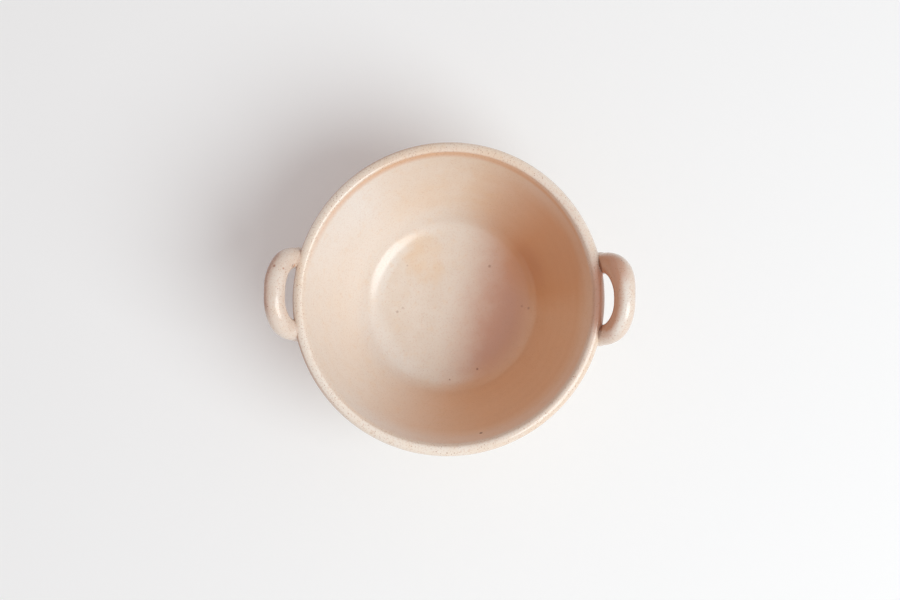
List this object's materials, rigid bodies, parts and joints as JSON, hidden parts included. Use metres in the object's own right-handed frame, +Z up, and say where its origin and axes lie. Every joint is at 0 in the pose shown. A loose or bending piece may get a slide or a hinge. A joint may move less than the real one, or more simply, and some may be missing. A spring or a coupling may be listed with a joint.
{
  "type": "lug soup bowl",
  "caption": "Round stoneware soup bowl with a flared wall, rounded rim and bare foot ring, carried by upright coil loop handles on opposite sides.",
  "frame": {"origin": "on the bowl's axis, in the plane of the table that the foot ring stands on", "axes": "+X along the line through the handles, towards the right-hand handle; +Y away from the viewer; +Z up, out of the mouth"},
  "size_m": [0.148, 0.1282, 0.0738],
  "materials": {
    "glaze": "semi-gloss cream glaze with a peach flush and fine iron speckle",
    "bare_clay": "bare fired stoneware, matt and slightly sandy"
  },
  "bodies": {
    "root": {"bowl_body": "glaze", "foot_ring": "bare_clay", "left_handle": "glaze", "right_handle": "glaze", "slip_joint_left_front": "glaze", "slip_joint_left_back": "glaze", "slip_joint_right_front": "glaze", "slip_joint_right_back": "glaze"}
  },
  "joints": []
}
